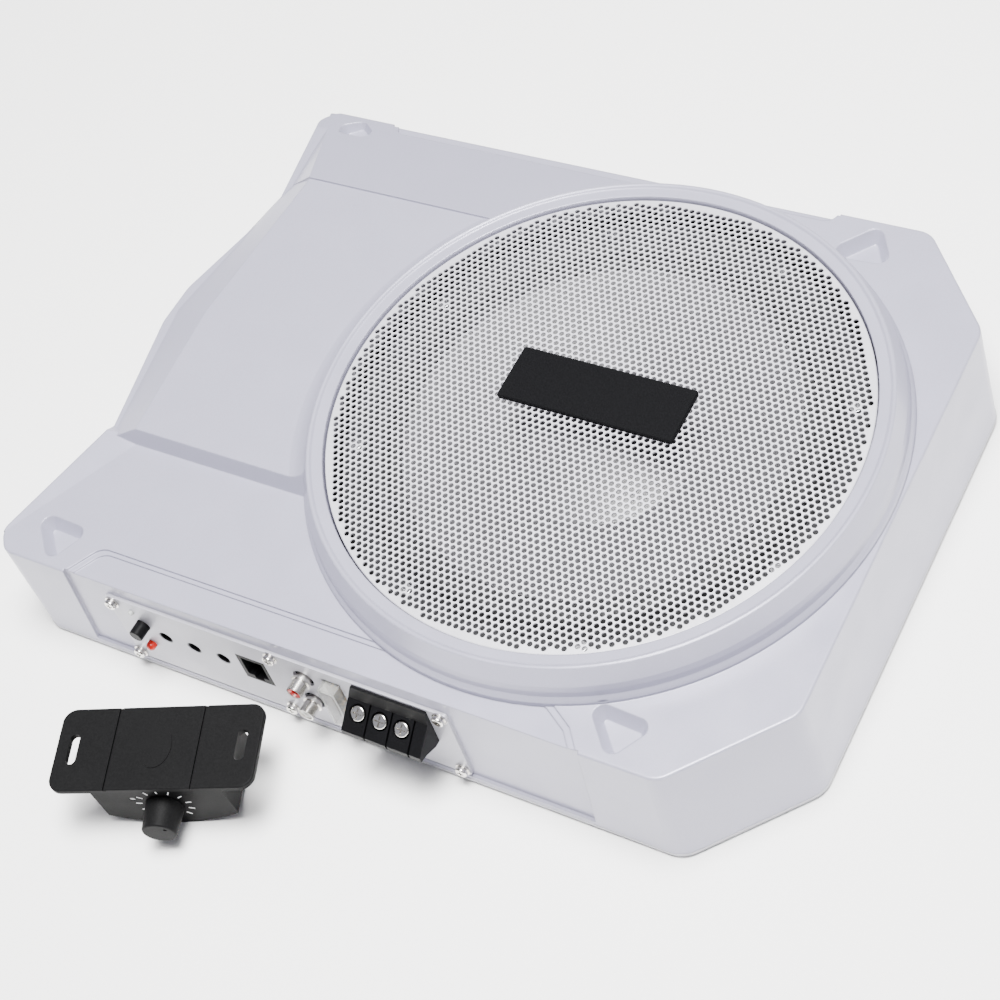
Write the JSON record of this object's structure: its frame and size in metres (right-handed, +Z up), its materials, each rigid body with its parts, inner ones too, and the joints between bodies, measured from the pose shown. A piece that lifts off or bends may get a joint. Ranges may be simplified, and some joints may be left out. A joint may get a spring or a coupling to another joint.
{
  "type": "powered car subwoofer",
  "caption": "Low powered subwoofer for a vehicle: ring framed perforated grille over a shallow woofer, raised amplifier platform, front control panel and a wired level control.",
  "frame": {"origin": "on the floor, midway between the four threaded inserts under the enclosure", "axes": "+X to the right along the control panel side, +Y to the back, +Z up"},
  "size_m": [0.4233, 0.4128, 0.0916],
  "materials": {
    "silver_shell": "satin silver paint on moulded plastic",
    "grey_base": "moulded plastic, fine texture",
    "rubber": "matt",
    "zinc": "zinc plated",
    "brass": "machined",
    "grille_steel": "silver painted perforated steel",
    "black_foam": "closed cell foam",
    "black_plate": "fine grain, matt",
    "black_steel": "black powder coat",
    "ferrite": "sintered",
    "cone_grey": "moulded polypropylene",
    "cloth": "resin dipped cotton",
    "copper": "enamelled wire",
    "aluminium": "mill finish",
    "silver_panel": "silver painted sheet",
    "nickel": "nickel plated",
    "circuit_board": "solder mask",
    "black_plastic": "moulded",
    "clear_led": "clear epoxy",
    "red_led": "tinted epoxy",
    "red_plastic": "moulded",
    "white_plastic": "moulded",
    "clear_nylon": "translucent nylon",
    "capacitor_sleeve": "shrink sleeve",
    "remote_black": "fine texture"
  },
  "bodies": {
    "enclosure": {"top_shell": "silver_shell", "base_plate": "grey_base", "rubber_feet": "rubber", "base_screws": "zinc", "threaded_inserts": "brass", "grille": "grille_steel", "grille_gasket": "black_foam", "badge": "black_plate", "basket_gasket": "black_foam", "woofer_basket": "black_steel", "basket_screws": "zinc", "motor_top_plate": "zinc", "magnet": "ferrite", "pole_yoke": "zinc", "speaker_terminals": "brass", "surround": "rubber", "spider": "cloth", "control_panel": "silver_panel", "panel_screws": "nickel", "panel_board": "circuit_board", "level_pots": "black_plastic", "phase_switch": "black_plastic", "power_led": "clear_led", "protect_led": "red_led", "rca_block": "black_plastic", "rca_barrels": "nickel", "rca_insert_red": "red_plastic", "rca_insert_white": "white_plastic", "remote_port": "black_plastic", "input_connector": "clear_nylon", "input_pins": "brass", "terminal_block": "black_plastic", "terminal_screws": "nickel", "board_standoffs": "brass", "amp_board": "circuit_board", "board_screws": "zinc", "capacitors": "capacitor_sleeve", "choke_core": "ferrite", "choke_winding": "copper", "heat_sink": "aluminium", "transistors": "black_plastic"},
    "moving_cone": {"cone": "cone_grey", "coil_former": "aluminium", "voice_coil": "copper", "dust_cap": "cone_grey"},
    "gain_control": {"gain_shaft": "black_plastic"},
    "crossover_control": {"crossover_shaft": "black_plastic"},
    "boost_control": {"boost_shaft": "black_plastic"},
    "phase_control": {"phase_button": "black_plastic"},
    "remote": {"remote_housing": "remote_black", "remote_fascia": "remote_black", "remote_bracket": "remote_black", "remote_pot": "black_plastic", "remote_led": "clear_led", "remote_board": "circuit_board", "remote_jack": "black_plastic"},
    "remote_dial": {"remote_knob": "remote_black", "remote_shaft": "nickel"}
  },
  "joints": [
    {"name": "cone_travel", "type": "slide", "parent": "enclosure", "child": "moving_cone", "axis": [0, 0, 1], "range_m": [-0.006, 0.006], "stiffness_N_per_m": 3000, "deforming": ["surround", "spider"]},
    {"name": "gain_turn", "type": "hinge", "parent": "enclosure", "child": "gain_control", "pos_m": [-0.112, -0.15765, 0.03695], "axis": [0, -0.9988, 0.0499], "range_deg": [-150, 150]},
    {"name": "crossover_turn", "type": "hinge", "parent": "enclosure", "child": "crossover_control", "pos_m": [-0.0944, -0.15765, 0.03695], "axis": [0, -0.9988, 0.0499], "range_deg": [-150, 150]},
    {"name": "boost_turn", "type": "hinge", "parent": "enclosure", "child": "boost_control", "pos_m": [-0.0766, -0.15765, 0.03695], "axis": [0, -0.9988, 0.0499], "range_deg": [-150, 150]},
    {"name": "phase_push", "type": "slide", "parent": "enclosure", "child": "phase_control", "axis": [0, 0.9988, -0.0499], "range_m": [0, 0.0025], "stiffness_N_per_m": 600},
    {"name": "remote_lift", "type": "slide", "parent": "enclosure", "child": "remote", "axis": [0, 0, 1], "range_m": [0, 0.12]},
    {"name": "remote_turn", "type": "hinge", "parent": "remote", "child": "remote_dial", "pos_m": [-0.07291, -0.23163, 0.019], "axis": [0.373, -0.9278, 0], "range_deg": [-150, 150]}
  ]
}
